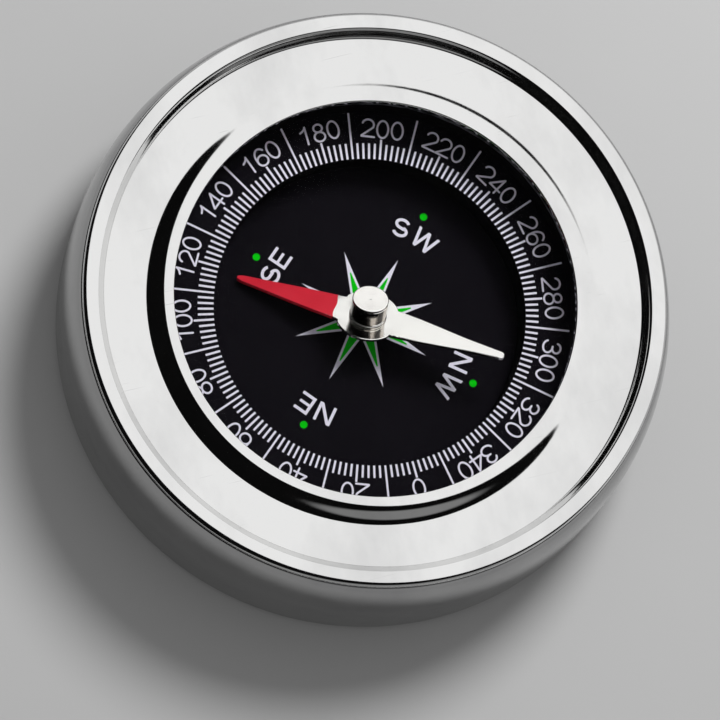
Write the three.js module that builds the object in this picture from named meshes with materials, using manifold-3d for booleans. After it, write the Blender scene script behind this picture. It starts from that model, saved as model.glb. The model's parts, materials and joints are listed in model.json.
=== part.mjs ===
// A stainless steel desk compass: a sealed round case with a polished front ring, a sunk dial,
// a raised degree ring and a two-armed needle that rides on a steel point.
// Millimetres, +Z up, origin at the middle of the underside. The dial's zero mark points along +Y,
// and headings are in degrees, clockwise seen from above.
import * as THREE from "three";
import { mergeVertices } from "three/addons/utils/BufferGeometryUtils.js";
import Module from "manifold-3d";

// Needle: heights are counted from the point that it rides on
const redArmLength = 17.05;
const paleArmLength = 17.75;
const redTipRadius = 0.3;
const paleTipRadius = 0.55;
const armRootWidth = 4.1;
const bladeDiscRadius = 3.9;
const bladeThickness = 0.35;
const bladeDepth = 1.15; // the blade's top face lies this far below the point
const armBulge = 0.09; // how far an arm's edges bow out of straight
const needleHeading = 126.2; // where the red arm points, before the lean
const leanHeading = 104.5; // the horizontal line that the needle leans about
const leanAngle = 29; // the case is propped up this far while the needle hangs level

// Hub: a turned cap with a foot on the blade, a spigot through it and a collar below
const hubRadius = 2.26;
const hubHeight = 1.95; // the cap's top above the point
const hubBevel = 0.15;
const hubFootRadius = 2.46;
const hubFootHeight = 0.9;
const spigotRadius = 1.95;
const spigotBore = 1.75;
const collarWidth = 0.9;
const collarThickness = 0.4;
const hubFit = 0.05; // between the hub's own pieces

// Jewel and point
const jewelRadius = 0.9;
const jewelCutDepth = 0.55;
const recessHalfAngle = 40;
const socketGap = 0.15;
const pointGap = 0.05;
const pinRadius = 0.35;
const pinTaper = 1.9;
const pinGrip = 2.2; // the length pressed into the post
const pinFit = 0.05;

// Post, washer and nut
const postStemRadius = 0.9;
const postFlangeRadius = 2.2;
const postFlangeHeight = 0.4;
const postThreadRadius = 1.2;
const postSwingGap = 0.1; // from the post's top to the lowest sweep of the hub
const threadProud = 0.3;
const washerRadius = 2.6;
const washerThickness = 0.5;
const nutAcrossFlats = 4;
const nutThickness = 1.2;
const boltFit = 0.1;

// Dial stack, from the underside up
const padThickness = 1;
const padInset = 0.5;
const padRound = 0.25;
const plateThickness = 1;
const ledgeThickness = 1.2;
const bossHeight = 2.7;
const floorThickness = 1.6;
const dialThickness = 0.8;
const dialClearance = 0.35; // under the lower tip when the needle leans
const ringRise = 4.75; // the degree ring's top above the dial
const ringThickness = 0.6;
const crystalClearance = 0.75; // over the hub when it leans
const retainerThickness = 0.55;
const crystalThickness = 1.5;
const crystalBevel = 0.25;
const gasketThickness = 0.3;
const crownHeight = 1; // the front bead's crest above the gasket's seat

// Widths, from the middle outwards
const tipClearance = 1.85;
const wellFit = 0.15;
const scaleWidth = 6;
const linerWall = 0.5;
const ringMargin = 0.9;
const carrierMargin = 0.2; // the tray's rim past the degree ring
const carrierWall = 1.5;
const carrierFlangeWidth = 5.8;
const crystalOverlap = 0.3;
const crystalFit = 0.1;
const collarFit = 0.1;
const retainerGrip = 0.4;
const retainerGap = 3; // the split in the spring ring
const grooveFit = 0.2;
const grooveSlack = 0.05;
const lipCover = 0.55;
const gasketInset = 0.1;
const bezelCollarWall = 0.9;
const bezelCollarLip = 0.6;

// Front ring
const lipHeight = 0.72; // the lip's crest above the gasket's seat
const lipRound = 0.25;
const lipCrestWidth = 1.15;
const lipSlopeWidth = 2.25; // from the crest down to the flange
const flangeWidth = 5.7;
const flangeDrop = 0.4; // the flange's face below the gasket's seat
const flangeDish = 0.1;
const flangeThickness = 0.8;
const beadRiseWidth = 1.75; // from the flange up to the bead's crest
const beadWidth = 2.9; // with its rise
const beadRoundWidth = 0.55;
const beadRoundHeight = 0.5;
const edgeRound = 0.25; // on both sides of the seam between front ring and case
const skirtWall = 0.9;
const skirtDepth = 4.5;
const skirtFit = 0.3;
const snapHeight = 0.5;
const snapReach = 0.6;
const snapGap = 0.1;
const sealHeight = 0.8;
const sealDepth = 0.45;
const sealSlack = 0.1;
const sealFit = 0.05;
const sealBelowRim = 1.3;

// Case
const rimAboveSeat = 0.4;
const rimDepth = 3.5;
const rimProud = 0.25; // the case's rim stands out past the bead
const caseBulge = 1.35;
const caseFootDraw = 0.1; // the side draws in this far above its corner
const bulgePower = 2.4;
const sheetThickness = 1;
const cornerWidth = 1;
const cornerHeight = 1;
const ledgeWidth = 4.8;
const landWidth = 4.45;
const plateFit = 0.3;

// Screws through the base plate into the carrier's bosses
const screwCount = 4;
const screwEdgeDistance = 2.2; // from the base plate's edge to the screw's axis
const screwRadius = 0.9;
const screwHeadRadius = 1.75;
const screwHeadHeight = 0.8;
const screwSink = 0.05;
const screwSlotWidth = 0.4;
const screwSlotDepth = 0.35;
const screwFit = 0.05;
const screwClearance = 0.2;
const screwTipGap = 0.2;
const bossWall = 1.3;
const screwBite = 2.4; // the length that holds in the boss

// Facets
const ringFacets = 48;
const hubFacets = 24;
const smallFacets = 16;

// Sizes that follow from the ones above
const degrees = Math.PI / 180;
const lean = leanAngle * degrees;
const armOffLeanLine = (needleHeading - leanHeading) * degrees;
const longestArm = Math.max(redArmLength, paleArmLength);
const tipDrop = longestArm * Math.sin(lean) * Math.abs(Math.sin(armOffLeanLine));
const bladeBottom = bladeDepth + bladeThickness;
const bladeBore = spigotRadius + hubFit;
const collarBottom = bladeBottom + hubFit + collarThickness;
const hubCollarRadius = bladeBore + collarWidth;
const sweptBelow = (depth, radius) => depth * Math.cos(lean) + radius * Math.sin(lean);

const plateBottomZ = padThickness;
const ledgeBottomZ = plateBottomZ + plateThickness;
const ledgeTopZ = ledgeBottomZ + ledgeThickness;
const floorBottomZ = ledgeTopZ + bossHeight;
const floorTopZ = floorBottomZ + floorThickness;
const dialZ = floorTopZ + dialThickness;
const pointZ = dialZ + bladeBottom * Math.cos(lean) + tipDrop + dialClearance;
const ringTopZ = dialZ + ringRise;
const shoulderZ = ringTopZ - ringThickness;
const crystalBottomZ = pointZ + sweptBelow(hubHeight, hubRadius) + crystalClearance;
const retainerBottomZ = crystalBottomZ - retainerThickness;
const crystalTopZ = crystalBottomZ + crystalThickness;
const seatZ = crystalTopZ + gasketThickness;
const rimTopZ = seatZ + rimAboveSeat;
const rimLowZ = rimTopZ - rimDepth;
const caseBottomZ = padThickness - padInset;

const dialRadius = longestArm + tipClearance;
const wellRadius = dialRadius + wellFit;
const linerInner = dialRadius + scaleWidth;
const linerOuter = linerInner + linerWall;
const ringOuter = linerOuter + ringMargin;
const carrierOuter = ringOuter + carrierMargin;
const crystalRadius = linerInner + crystalOverlap;
const pocketRadius = crystalRadius + crystalFit;
const collarBore = linerOuter + collarFit;
const retainerOuter = collarBore + retainerGrip;
const grooveRadius = retainerOuter + grooveFit;
const windowRadius = linerInner - lipCover;
const bezelCollarOuter = grooveRadius + bezelCollarWall;
const beadFoot = bezelCollarOuter + flangeWidth;
const beadOuter = beadFoot + beadWidth;
const skirtOuter = beadFoot + skirtWall;
const rimBore = skirtOuter + skirtFit;
const rimOuter = beadOuter + rimProud;
const caseRadius = rimOuter + caseBulge;
const recessRadius = caseRadius - caseFootDraw - cornerWidth - landWidth;
const plateRadius = recessRadius - plateFit;
const padRadius = plateRadius - padInset;
const screwCircle = plateRadius - screwEdgeDistance;
const collarBottomZ = retainerBottomZ - grooveSlack - bezelCollarLip;
const skirtBottomZ = rimTopZ - skirtDepth;
const sealTopZ = rimTopZ - sealBelowRim;
const screwTipZ = ledgeTopZ + screwBite;
const postTopZ = pointZ - sweptBelow(collarBottom, hubCollarRadius) - postSwingGap;
const nutTopZ = floorBottomZ - washerThickness;
const nutBottomZ = nutTopZ - nutThickness;
const boltBore = postThreadRadius + boltFit;

const wasm = await Module();
wasm.setup();

const at = (radius, height) => new THREE.Vector2(radius, height);

// Points along a round stretch of an outline; angles in degrees, counted from the +X or radius direction
function arc(centreX, centreY, radiusX, radiusY, from, to, steps) {
  return Array.from({ length: steps + 1 }, (_, i) => {
    const angle = (from + ((to - from) * i) / steps) * degrees;
    return at(centreX + radiusX * Math.cos(angle), centreY + radiusY * Math.sin(angle));
  });
}

// Points of a step that leaves one level and reaches another without a corner
function softStep(from, to, steps) {
  return Array.from({ length: steps + 1 }, (_, i) => {
    const share = (1 - Math.cos((Math.PI * i) / steps)) / 2;
    return at(from.x + ((to.x - from.x) * i) / steps, from.y + (to.y - from.y) * share);
  });
}

// A turned solid from its half section, with the material on the left of the outline.
// A section that misses the axis closes on itself.
function turned(section, facets = ringFacets) {
  const first = section[0];
  const outline = first.x === 0 ? section : [...section, first];
  return new THREE.LatheGeometry(outline, facets).rotateX(Math.PI / 2);
}

// A square-edged washer shape between two radii
function turnedRing(inner, outer, bottom, top, facets = ringFacets) {
  return turned([at(inner, bottom), at(outer, bottom), at(outer, top), at(inner, top)], facets);
}

function turnedRod(radius, bottom, top, facets = smallFacets) {
  return turned([at(0, bottom), at(radius, bottom), at(radius, top), at(0, top)], facets);
}

function solid(geometry) {
  const bare = geometry.clone();
  bare.deleteAttribute("normal");
  bare.deleteAttribute("uv");
  const merged = mergeVertices(bare, 1e-4);
  const index = new Uint32Array(merged.index.array);
  const vertProperties = merged.getAttribute("position").array;
  return new wasm.Manifold(new wasm.Mesh({ numProp: 3, vertProperties, triVerts: index }));
}

function geometryOf(body) {
  const mesh = body.getMesh();
  const geometry = new THREE.BufferGeometry();
  geometry.setAttribute("position", new THREE.BufferAttribute(mesh.vertProperties, 3));
  geometry.setIndex(new THREE.BufferAttribute(mesh.triVerts, 1));
  geometry.computeVertexNormals();
  return geometry;
}

function moved(geometry, x, y) {
  return geometry.clone().translate(x, y, 0);
}

// The places of the base screws
const screwPlaces = Array.from({ length: screwCount }, (_, i) => {
  const angle = ((i + 0.5) / screwCount) * 2 * Math.PI;
  return at(screwCircle * Math.cos(angle), screwCircle * Math.sin(angle));
});

// Cuts one copy of a tool at each screw
function cutAtScrews(body, tool) {
  return screwPlaces.reduce((left, p) => left.subtract(solid(moved(tool, p.x, p.y))), body);
}

const polishedSteel = new THREE.MeshStandardMaterial({ color: 0xe4e4e2, roughness: 0.08, metalness: 1 });
const brushedSteel = new THREE.MeshStandardMaterial({ color: 0xb9bab8, roughness: 0.35, metalness: 1 });
const nickel = new THREE.MeshStandardMaterial({ color: 0xeeece4, roughness: 0.12, metalness: 1 });
const hardSteel = new THREE.MeshStandardMaterial({ color: 0x8f9194, roughness: 0.25, metalness: 1 });
const brass = new THREE.MeshStandardMaterial({ color: 0xc9a55a, roughness: 0.3, metalness: 1 });
const blackPlastic = new THREE.MeshStandardMaterial({ color: 0x100f12, roughness: 0.6, metalness: 0 });
const dialBlack = new THREE.MeshStandardMaterial({ color: 0x131116, roughness: 0.75, metalness: 0 });
const sealRubber = new THREE.MeshStandardMaterial({ color: 0x1c1c1c, roughness: 0.85, metalness: 0 });
const felt = new THREE.MeshStandardMaterial({ color: 0x22231f, roughness: 1, metalness: 0 });
const glass = new THREE.MeshStandardMaterial({
  color: 0xf4f8f8,
  roughness: 0.02,
  metalness: 0,
  transparent: true,
  opacity: 0.12,
});
const sapphire = new THREE.MeshStandardMaterial({ color: 0xa03a46, roughness: 0.1, metalness: 0 });

// The case's outer radius at a height: a drawn side that bulges between its corner and its rim
function caseSide(height) {
  const low = caseBottomZ + cornerHeight;
  const middle = (low + rimTopZ) / 2;
  const share = Math.abs(height - middle) / (rimTopZ - middle);
  const drop = height > middle ? caseBulge : caseFootDraw;
  return caseRadius - drop * share ** bulgePower;
}

// The side's points between two heights, moved inwards by the inset
function sidePoints(from, to, steps, inset) {
  return Array.from({ length: steps + 1 }, (_, i) => {
    const height = from + ((to - from) * i) / steps;
    return at(caseSide(height) - inset, height);
  });
}

function makeCaseShell() {
  const cornerTop = caseBottomZ + cornerHeight;
  const cornerRadius = caseSide(cornerTop);
  const ledgeInner = recessRadius - ledgeWidth;
  const section = [
    at(ledgeInner, ledgeBottomZ),
    at(recessRadius, ledgeBottomZ),
    at(recessRadius, caseBottomZ),
    ...arc(cornerRadius - cornerWidth, cornerTop, cornerWidth, cornerHeight, -90, 0, 3),
    ...sidePoints(cornerTop, rimTopZ - edgeRound, 7, 0).slice(1),
    at(caseSide(rimTopZ) - edgeRound, rimTopZ),
    at(rimBore, rimTopZ),
    at(rimBore, rimLowZ),
    ...sidePoints(rimLowZ, ledgeTopZ + sheetThickness, 3, sheetThickness),
    at(caseSide(ledgeTopZ) - 2 * sheetThickness, ledgeTopZ),
    at(ledgeInner, ledgeTopZ),
  ];
  const hole = turnedRod(
    screwRadius + screwClearance,
    ledgeBottomZ - plateThickness,
    ledgeTopZ + bossHeight / 2,
  );
  return geometryOf(cutAtScrews(solid(turned(section)), hole));
}

function makeBezel() {
  const flangeZ = seatZ - flangeDrop;
  const lipTopZ = seatZ + lipHeight;
  const crestOuter = windowRadius + lipCrestWidth;
  const crownZ = seatZ + crownHeight;
  const grooveTopZ = crystalBottomZ + grooveSlack;
  const grooveLowZ = retainerBottomZ - grooveSlack;
  const snapTopZ = rimLowZ - snapGap;
  const sealGroove = skirtOuter - sealDepth;
  const section = [
    at(windowRadius, seatZ),
    at(pocketRadius, seatZ),
    at(pocketRadius, grooveTopZ),
    at(grooveRadius, grooveTopZ),
    at(grooveRadius, grooveLowZ),
    at(collarBore, grooveLowZ),
    at(collarBore, collarBottomZ),
    at(bezelCollarOuter, collarBottomZ),
    at(bezelCollarOuter, flangeZ - flangeDish - flangeThickness),
    at(beadFoot, flangeZ - flangeDish - flangeThickness),
    at(beadFoot, skirtBottomZ),
    at(skirtOuter, skirtBottomZ),
    at(skirtOuter + snapReach, snapTopZ - snapHeight / 2),
    at(skirtOuter + snapReach, snapTopZ),
    at(skirtOuter, snapTopZ),
    at(skirtOuter, sealTopZ - sealHeight - sealSlack),
    at(sealGroove, sealTopZ - sealHeight - sealSlack),
    at(sealGroove, sealTopZ + sealSlack),
    at(skirtOuter, sealTopZ + sealSlack),
    at(skirtOuter, rimTopZ),
    at(beadOuter - edgeRound, rimTopZ),
    at(beadOuter, rimTopZ + edgeRound),
    ...arc(beadOuter - beadRoundWidth, crownZ - beadRoundHeight, beadRoundWidth, beadRoundHeight, 0, 90, 4).slice(1),
    ...softStep(at(beadFoot + beadRiseWidth, crownZ), at(beadFoot, flangeZ), 6),
    at((beadFoot + crestOuter + lipSlopeWidth) / 2, flangeZ - flangeDish),
    ...softStep(at(crestOuter + lipSlopeWidth, flangeZ), at(crestOuter, lipTopZ), 6),
    ...arc(windowRadius + lipRound, lipTopZ - lipRound, lipRound, lipRound, 90, 180, 3),
  ];
  return turned(section);
}

function makeBezelSeal() {
  const inner = skirtOuter - sealDepth + sealFit;
  return turnedRing(inner, rimBore - sealFit, sealTopZ - sealHeight, sealTopZ);
}

function makeCrystal() {
  const edge = crystalRadius - crystalBevel;
  return turned([
    at(0, crystalBottomZ),
    at(edge, crystalBottomZ),
    at(crystalRadius, crystalBottomZ + crystalBevel),
    at(crystalRadius, crystalTopZ - crystalBevel),
    at(edge, crystalTopZ),
    at(0, crystalTopZ),
  ]);
}

// A spring ring of square section with a split
function makeCrystalRetainer() {
  const half = retainerGap / 2 / linerInner / degrees;
  const outline = [
    ...arc(0, 0, retainerOuter, retainerOuter, half, 360 - half, ringFacets - 1),
    ...arc(0, 0, linerInner, linerInner, 360 - half, half, ringFacets - 1),
  ];
  const ring = new THREE.ExtrudeGeometry(new THREE.Shape(outline), {
    depth: retainerThickness,
    bevelEnabled: false,
  });
  return ring.translate(0, 0, retainerBottomZ);
}

function makeDialCarrier() {
  const wallOuter = wellRadius + carrierWall;
  const outerWallInner = carrierOuter - carrierWall;
  const shoulderUnderZ = shoulderZ - carrierWall;
  const flangeOuter = carrierOuter + carrierFlangeWidth;
  const section = [
    at(boltBore, floorBottomZ),
    at(wallOuter, floorBottomZ),
    at(wallOuter, shoulderUnderZ),
    at(outerWallInner, shoulderUnderZ),
    at(outerWallInner, floorBottomZ),
    at(flangeOuter, floorBottomZ),
    at(flangeOuter, floorTopZ),
    at(carrierOuter, floorTopZ),
    at(carrierOuter, shoulderZ),
    at(wellRadius, shoulderZ),
    at(wellRadius, floorTopZ),
    at(boltBore, floorTopZ),
  ];
  const boss = turnedRod(screwRadius + bossWall, ledgeTopZ, floorBottomZ + floorThickness / 2);
  const pilot = turnedRod(screwRadius + screwFit, ledgeBottomZ, screwTipZ + screwTipGap);
  const withBosses = screwPlaces.reduce(
    (left, p) => left.add(solid(moved(boss, p.x, p.y))),
    solid(turned(section)),
  );
  return geometryOf(cutAtScrews(withBosses, pilot));
}

// The countersunk screw's outline, grown by a fit for the hole in the base plate
function screwHeadSection(fit) {
  const headZ = plateBottomZ + screwSink;
  return [
    at(screwHeadRadius + fit, headZ),
    at(screwRadius + fit, headZ + screwHeadHeight),
  ];
}

function makeBasePlate() {
  const disc = solid(turnedRod(plateRadius, plateBottomZ, ledgeBottomZ, ringFacets));
  const [rim, neck] = screwHeadSection(screwClearance);
  const below = plateBottomZ - screwSink;
  const sink = turned(
    [at(0, below), at(rim.x, below), rim, neck, at(neck.x, ledgeTopZ), at(0, ledgeTopZ)],
    smallFacets,
  );
  return geometryOf(cutAtScrews(disc, sink));
}

function makeBaseScrew(place) {
  const [rim, neck] = screwHeadSection(0);
  const body = turned(
    [at(0, rim.y), rim, neck, at(neck.x, screwTipZ), at(0, screwTipZ)],
    smallFacets,
  );
  const slot = new THREE.BoxGeometry(screwHeadRadius * 3, screwSlotWidth, screwSlotDepth * 2);
  slot.translate(0, 0, rim.y);
  return geometryOf(solid(body).subtract(solid(slot))).translate(place.x, place.y, 0);
}

function makeBasePad() {
  return turned([
    at(0, 0),
    at(padRadius - padRound, 0),
    at(padRadius, padRound),
    at(padRadius, padThickness),
    at(0, padThickness),
  ]);
}

function makePivotPost() {
  const flangeTop = dialZ + postFlangeHeight;
  const bore = pinRadius + pinFit;
  const boreFloor = postTopZ - pinGrip;
  return turned(
    [
      at(0, nutBottomZ - threadProud),
      at(postThreadRadius, nutBottomZ - threadProud),
      at(postThreadRadius, dialZ),
      at(postFlangeRadius, dialZ),
      at(postFlangeRadius, flangeTop),
      at(postStemRadius, flangeTop),
      at(postStemRadius, postTopZ),
      at(bore, postTopZ),
      at(bore, boreFloor),
      at(0, boreFloor),
    ],
    hubFacets,
  );
}

function makePivotPin() {
  const bottom = postTopZ - pinGrip + pinFit;
  const taperZ = pointZ - pinTaper;
  return turned([at(0, bottom), at(pinRadius, bottom), at(pinRadius, taperZ), at(0, pointZ)], hubFacets);
}

function makePivotNut() {
  const corner = nutAcrossFlats / 2 / Math.cos(30 * degrees);
  const hexagon = new THREE.Shape(arc(0, 0, corner, corner, 0, 300, 5));
  const bore = postThreadRadius + boltFit / 2;
  hexagon.holes.push(new THREE.Path(arc(0, 0, bore, bore, 0, 360, hubFacets).slice(1)));
  const nut = new THREE.ExtrudeGeometry(hexagon, { depth: nutThickness, bevelEnabled: false });
  return nut.translate(0, 0, nutBottomZ);
}

// One edge of an arm, from its root on the disc to its round tip, on the +X side
function armEdge(length, tipRadius) {
  const rootHalf = armRootWidth / 2;
  const rootY = Math.sqrt(bladeDiscRadius ** 2 - rootHalf ** 2);
  const tipY = length - tipRadius;
  const middle = at((rootHalf + tipRadius) / 2 + armBulge, (rootY + tipY) / 2);
  return [at(rootHalf, rootY), middle, ...arc(0, tipY, tipRadius, tipRadius, 0, 90, 4)];
}

// The blade in its own plane, with the red arm along +Y
function makeNeedleBlade() {
  const redEdge = armEdge(redArmLength, redTipRadius);
  const paleEdge = armEdge(paleArmLength, paleTipRadius);
  const rootAngle = Math.asin(armRootWidth / 2 / bladeDiscRadius) / degrees;
  const side = [
    ...paleEdge.map((p) => at(p.x, -p.y)).reverse(),
    ...arc(0, 0, bladeDiscRadius, bladeDiscRadius, rootAngle - 90, 90 - rootAngle, 10).slice(1, -1),
    ...redEdge,
  ];
  const otherSide = side.slice(1, -1).map((p) => at(-p.x, p.y)).reverse();
  const outline = new THREE.Shape([...side, ...otherSide]);
  outline.holes.push(new THREE.Path(arc(0, 0, bladeBore, bladeBore, 0, 360, hubFacets).slice(1)));
  const blade = new THREE.ExtrudeGeometry(outline, { depth: bladeThickness, bevelEnabled: false });
  return blade.translate(0, 0, -bladeBottom);
}

function makeHubCap() {
  const ceiling = jewelRadius + socketGap;
  const footZ = hubFit - bladeDepth;
  return turned(
    [
      at(0, ceiling),
      at(ceiling, ceiling),
      at(ceiling, -jewelCutDepth),
      at(spigotBore, -bladeDepth),
      at(spigotBore, -collarBottom),
      at(spigotRadius, -collarBottom),
      at(spigotRadius, footZ),
      at(hubFootRadius, footZ),
      at(hubFootRadius, footZ + hubFootHeight),
      at(hubRadius, footZ + hubFootHeight + hubFootRadius - hubRadius),
      at(hubRadius, hubHeight - hubBevel),
      at(hubRadius - hubBevel, hubHeight),
      at(0, hubHeight),
    ],
    hubFacets,
  );
}

function makeHubCollar() {
  return turnedRing(bladeBore, hubCollarRadius, -collarBottom, -bladeBottom - hubFit, hubFacets);
}

// A bead with a cone cut into its underside, which the point stands in
function makeJewelCup() {
  const recessRadius = (jewelCutDepth + pointGap) * Math.tan(recessHalfAngle * degrees);
  const cutAngle = -Math.asin(jewelCutDepth / jewelRadius) / degrees;
  const dome = arc(0, 0, jewelRadius, jewelRadius, cutAngle, 90, 8);
  dome[dome.length - 1].x = 0;
  return turned([at(0, pointGap), at(recessRadius, -jewelCutDepth), ...dome], hubFacets);
}

const compass = new THREE.Group();

function addPiece(parent, name, geometry, material) {
  const mesh = new THREE.Mesh(geometry, material);
  mesh.name = name;
  parent.add(mesh);
}

// Case and base
addPiece(compass, "case_shell", makeCaseShell(), polishedSteel);
addPiece(compass, "bezel", makeBezel(), polishedSteel);
addPiece(compass, "bezel_seal", makeBezelSeal(), sealRubber);
addPiece(compass, "base_plate", makeBasePlate(), brushedSteel);
addPiece(compass, "base_pad", makeBasePad(), felt);
screwPlaces.forEach((place, i) => {
  addPiece(compass, `base_screw_${i + 1}`, makeBaseScrew(place), hardSteel);
});

// Glass
addPiece(compass, "crystal", makeCrystal(), glass);
const gasket = turnedRing(windowRadius + gasketInset, crystalRadius, crystalTopZ, seatZ);
addPiece(compass, "crystal_gasket", gasket, sealRubber);
addPiece(compass, "crystal_retainer", makeCrystalRetainer(), hardSteel);
const liner = turnedRing(linerInner, linerOuter, ringTopZ, retainerBottomZ);
addPiece(compass, "liner_ring", liner, blackPlastic);

// Dial
addPiece(compass, "dial_carrier", makeDialCarrier(), blackPlastic);
const dial = turnedRing(boltBore, dialRadius, floorTopZ, dialZ);
addPiece(compass, "dial_disc", dial, dialBlack);
const chapterRing = turnedRing(dialRadius, ringOuter, shoulderZ, ringTopZ);
addPiece(compass, "chapter_ring", chapterRing, dialBlack);

// Pivot
addPiece(compass, "pivot_post", makePivotPost(), brass);
addPiece(compass, "pivot_pin", makePivotPin(), hardSteel);
const washer = turnedRing(boltBore, washerRadius, nutTopZ, floorBottomZ, hubFacets);
addPiece(compass, "pivot_washer", washer, hardSteel);
addPiece(compass, "pivot_nut", makePivotNut(), brass);

// The jewel turns with the needle and stays upright on the point
const jewel = new THREE.Group();
jewel.position.z = pointZ;
addPiece(jewel, "jewel_cup", makeJewelCup(), sapphire);
compass.add(jewel);

// The needle leans about a level line through the point and points along its heading
const needle = new THREE.Group();
needle.position.z = pointZ;
const leanLine = new THREE.Vector3(
  Math.sin(leanHeading * degrees),
  Math.cos(leanHeading * degrees),
  0,
);
needle.quaternion.setFromAxisAngle(leanLine, lean);
const heading = new THREE.Group();
heading.rotation.z = -needleHeading * degrees;
addPiece(heading, "needle_blade", makeNeedleBlade(), nickel);
addPiece(heading, "hub_cap", makeHubCap(), nickel);
addPiece(heading, "hub_collar", makeHubCollar(), brass);
needle.add(heading);
compass.add(needle);

export default compass;
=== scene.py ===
# A round stainless steel compass on a pale floor, seen from above and a little to one side.
# Lengths are in millimetres until a mesh is made, and headings are in degrees, clockwise from
# the dial's zero mark, which points along +Y. Needle heights are counted from its bearing point.
import json
import math

import bpy
from mathutils import Matrix, Vector
from mathutils.geometry import delaunay_2d_cdt


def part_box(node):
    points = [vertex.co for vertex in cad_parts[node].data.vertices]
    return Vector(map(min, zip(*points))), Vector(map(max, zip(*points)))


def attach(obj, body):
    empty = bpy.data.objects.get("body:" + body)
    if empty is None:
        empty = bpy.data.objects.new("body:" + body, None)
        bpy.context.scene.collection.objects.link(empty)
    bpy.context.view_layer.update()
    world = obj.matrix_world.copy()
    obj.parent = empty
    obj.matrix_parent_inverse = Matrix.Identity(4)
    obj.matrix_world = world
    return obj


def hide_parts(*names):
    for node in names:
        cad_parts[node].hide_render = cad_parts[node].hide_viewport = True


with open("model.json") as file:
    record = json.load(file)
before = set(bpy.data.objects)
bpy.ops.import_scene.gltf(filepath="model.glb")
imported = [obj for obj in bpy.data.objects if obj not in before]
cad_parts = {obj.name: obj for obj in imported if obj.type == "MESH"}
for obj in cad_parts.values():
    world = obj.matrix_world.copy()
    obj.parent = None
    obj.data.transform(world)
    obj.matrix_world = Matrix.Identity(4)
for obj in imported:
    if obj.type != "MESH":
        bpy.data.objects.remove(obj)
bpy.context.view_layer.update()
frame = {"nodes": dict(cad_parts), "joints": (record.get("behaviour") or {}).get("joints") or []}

MM = 0.001
RING_SEGMENTS = 288
HUB_SEGMENTS = 128
POST_SEGMENTS = 96
PIN_SEGMENTS = 64
BORE_SEGMENTS = 72
DRILL_SEGMENTS = 32
CREASE = math.radians(28)
MERGE_DISTANCE = 1e-6
# A bore's edges are chords, which lie a little inside its radius
CHORD_SHARE = 0.999


def span(node):
    """The lowest and highest corner of a CAD node"""
    low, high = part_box(node)
    return low / MM, high / MM


def heading(degrees, radius=1.0):
    """The point at a heading, clockwise from +Y, and a radius"""
    angle = math.radians(degrees)
    return Vector((radius * math.sin(angle), radius * math.cos(angle)))


# Sizes from the frame
case_low, case_high = span("case_shell")
bezel_low, bezel_high = span("bezel")
crystal_low, crystal_high = span("crystal")
gasket_top = span("crystal_gasket")[1].z
retainer_low = span("crystal_retainer")[0]
liner_low, liner_high = span("liner_ring")
ring_low, ring_high = span("chapter_ring")
dial_low, dial_high = span("dial_disc")
plate_low, plate_high = span("base_plate")
pad_low, pad_high = span("base_pad")
post_low, post_high = span("pivot_post")
pin_low, pin_high = span("pivot_pin")
screw_boxes = [span(f"base_screw_{i}") for i in range(1, 5)]
point = Vector(frame["joints"][0]["pos_m"]) / MM
lean_line = Vector(frame["joints"][1]["axis"])

# The needle's rest pose: it hangs level in a case that is propped up
NEEDLE_HEADING = 126.2
LEAN = 29
needle_matrix = (
    Matrix.Translation(point * MM)
    @ Matrix.Rotation(math.radians(LEAN), 4, lean_line)
    @ Matrix.Rotation(math.radians(-NEEDLE_HEADING), 4, "Z")
)

# Meshes


def add_object(name, data, matrix=None):
    """A mesh, camera or light put in the scene"""
    made = bpy.data.objects.new(name, data)
    bpy.context.scene.collection.objects.link(made)
    if matrix is not None:
        made.matrix_world = matrix
    return made


def make_object(name, points, faces, matrix=None, smooth=True):
    """A mesh object from points in millimetres, smooth up to its creases"""
    mesh = bpy.data.meshes.new(name)
    mesh.from_pydata([tuple(c * MM for c in p) for p in points], [], faces)
    mesh.validate()
    if smooth:
        mesh.shade_smooth()
        mesh.set_sharp_from_angle(angle=CREASE)
    return add_object(name, mesh, matrix)


def evenly(start, end, steps):
    """Numbers from a start to an end in even steps"""
    return [start + (end - start) * i / steps for i in range(steps + 1)]


def arc(x, y, radius_x, radius_y, start, end, steps):
    """Points along a round stretch of an outline, angles in degrees from its first axis"""
    angles = [math.radians(degrees) for degrees in evenly(start, end, steps)]
    return [(x + radius_x * math.cos(a), y + radius_y * math.sin(a)) for a in angles]


def lathe(name, section, segments=RING_SEGMENTS, matrix=None):
    """A turned piece from its half section, with the material on the left of the outline.
    A section that misses the axis closes on itself."""
    on_axis = section[0][0] == 0
    points = []
    rings = []
    for radius, height in section:
        if radius == 0:
            rings.append([len(points)] * segments)
            points.append((0, 0, height))
            continue
        rings.append(list(range(len(points), len(points) + segments)))
        turns = [2 * math.pi * j / segments for j in range(segments)]
        points += [(radius * math.cos(t), radius * math.sin(t), height) for t in turns]
    pairs = list(zip(rings, rings[1:]))
    if not on_axis:
        pairs.append((rings[-1], rings[0]))
    faces = []
    for low, high in pairs:
        for j in range(segments):
            k = (j + 1) % segments
            corners = [low[j], low[k], high[k], high[j]]
            faces.append(list(dict.fromkeys(corners)))
    return make_object(name, points, [f for f in faces if len(f) > 2], matrix)


def ring_section(inner, outer, bottom, top, edge):
    """A square section with its four corners cut by an edge"""
    return [
        (inner + edge, bottom),
        (outer - edge, bottom),
        (outer, bottom + edge),
        (outer, top - edge),
        (outer - edge, top),
        (inner + edge, top),
        (inner, top - edge),
        (inner, bottom + edge),
    ]


def disc_section(low, high, edge):
    """A solid disc's half section between the corners of its box, with its two rims cut"""
    return [
        (0, low.z),
        (high.x - edge, low.z),
        (high.x, low.z + edge),
        (high.x, high.z - edge),
        (high.x - edge, high.z),
        (0, high.z),
    ]


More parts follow.
